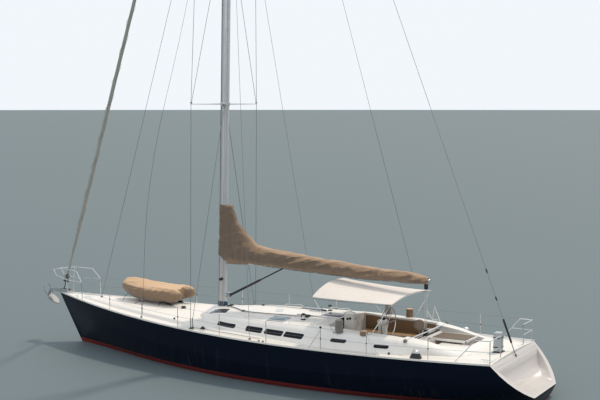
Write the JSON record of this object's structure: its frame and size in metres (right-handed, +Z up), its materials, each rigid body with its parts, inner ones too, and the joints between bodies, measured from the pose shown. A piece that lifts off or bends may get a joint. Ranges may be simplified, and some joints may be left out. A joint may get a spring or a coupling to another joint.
{
  "type": "sailing yacht",
  "caption": "Single-masted fin-keel sailing yacht afloat, sails furled and covered, with a low coachroof, centre cockpit, bimini, covered tender and open reverse transom.",
  "frame": {"origin": "amidships (half way along the hull) on the centreline, at the waterline", "axes": "+X forward, +Y to port, +Z up"},
  "size_m": [20.5229, 5.1422, 30.6411],
  "materials": {
    "navy_gelcoat": "glossy topsides, red antifouling below",
    "white_gelcoat": "satin gelcoat",
    "antifouling": "matt red antifouling paint",
    "spar_aluminium": "anodised",
    "stainless": "polished",
    "rod_rigging": "polished",
    "bronze": "cast",
    "sailcloth": "woven polyester",
    "cover_canvas": "acrylic canvas",
    "tan_canvas": "acrylic canvas",
    "white_canvas": "acrylic canvas",
    "grey_canvas": "acrylic canvas",
    "dark_fitting": "black anodised",
    "smoked_acrylic": "tinted acrylic",
    "engine_paint": "grey enamel"
  },
  "bodies": {
    "hull_body": {"hull": "navy_gelcoat", "deck": "white_gelcoat", "coachroof": "white_gelcoat", "cockpit_coaming": "white_gelcoat", "stern_platform": "white_gelcoat", "cockpit_liner": "white_gelcoat", "engine": "engine_paint", "keel": "antifouling", "shaft_strut": "bronze", "mast": "spar_aluminium", "spreaders_1": "spar_aluminium", "spreaders_2": "spar_aluminium", "spreaders_3": "spar_aluminium", "shrouds_port": "rod_rigging", "shrouds_starboard": "rod_rigging", "runner_port": "rod_rigging", "runner_starboard": "rod_rigging", "furled_genoa": "sailcloth", "furler_drum": "dark_fitting", "inner_forestay": "rod_rigging", "backstay": "rod_rigging", "sail_cover_mast": "cover_canvas", "gooseneck_bracket": "stainless", "vang_bracket": "stainless", "guardrail_port": "stainless", "guardrail_starboard": "stainless", "bow_pulpit": "stainless", "stern_rail_port": "stainless", "stern_rail_starboard": "stainless", "bow_roller": "stainless", "anchor": "stainless", "bimini_frame": "stainless", "bimini_canopy": "white_canvas", "tender": "tan_canvas", "steering_pedestal": "white_gelcoat", "primary_winch_port": "grey_canvas", "primary_winch_starboard": "grey_canvas", "secondary_winch_port": "tan_canvas", "secondary_winch_starboard": "tan_canvas", "stern_winch_port": "dark_fitting", "stern_winch_starboard": "dark_fitting", "halyard_winch_port": "dark_fitting", "halyard_winch_starboard": "dark_fitting", "traveller": "dark_fitting"},
    "boom_body": {"boom": "spar_aluminium", "vang": "spar_aluminium", "sail_cover_boom": "cover_canvas"},
    "rudder_body": {"rudder": "antifouling"},
    "wheel_body": {"steering_wheel": "stainless"},
    "propeller_body": {"propeller": "bronze"},
    "hatch_port_body": {"hatch_port": "smoked_acrylic"},
    "hatch_starboard_body": {"hatch_starboard": "smoked_acrylic"},
    "companionway_body": {"companionway_hatch": "smoked_acrylic"}
  },
  "joints": [
    {"name": "boom_swing", "type": "hinge", "parent": "hull_body", "child": "boom_body", "pos_m": [1.84, 0, 3.72], "axis": [0, 0, 1], "range_deg": [-38, 38]},
    {"name": "rudder_turn", "type": "hinge", "parent": "hull_body", "child": "rudder_body", "pos_m": [-7.65, 0, -0.3], "axis": [0, 0, 1], "range_deg": [-35, 35]},
    {"name": "wheel_turn", "type": "hinge", "parent": "hull_body", "child": "wheel_body", "pos_m": [-4.48, 0, 2.01], "axis": [1, 0, 0], "range_deg": [-420, 420]},
    {"name": "propeller_spin", "type": "hinge", "parent": "hull_body", "child": "propeller_body", "pos_m": [-5.9, 0, -0.85], "axis": [0.9801, 0, 0.1987], "continuous": true},
    {"name": "hatch_port_lift", "type": "hinge", "parent": "hull_body", "child": "hatch_port_body", "pos_m": [-0.595, 1.18, 2.003], "axis": [0, 0.9945, -0.1048], "range_deg": [0, 80]},
    {"name": "hatch_starboard_lift", "type": "hinge", "parent": "hull_body", "child": "hatch_starboard_body", "pos_m": [-0.595, -1.18, 2.003], "axis": [0, 0.9945, 0.1048], "range_deg": [0, 80]},
    {"name": "companionway_slide", "type": "slide", "parent": "hull_body", "child": "companionway_body", "axis": [1, 0, 0], "range_m": [0, 0.75]}
  ],
  "couplings": [
    {"joint": "wheel_turn", "follows": "rudder_turn", "ratio": 12}
  ]
}
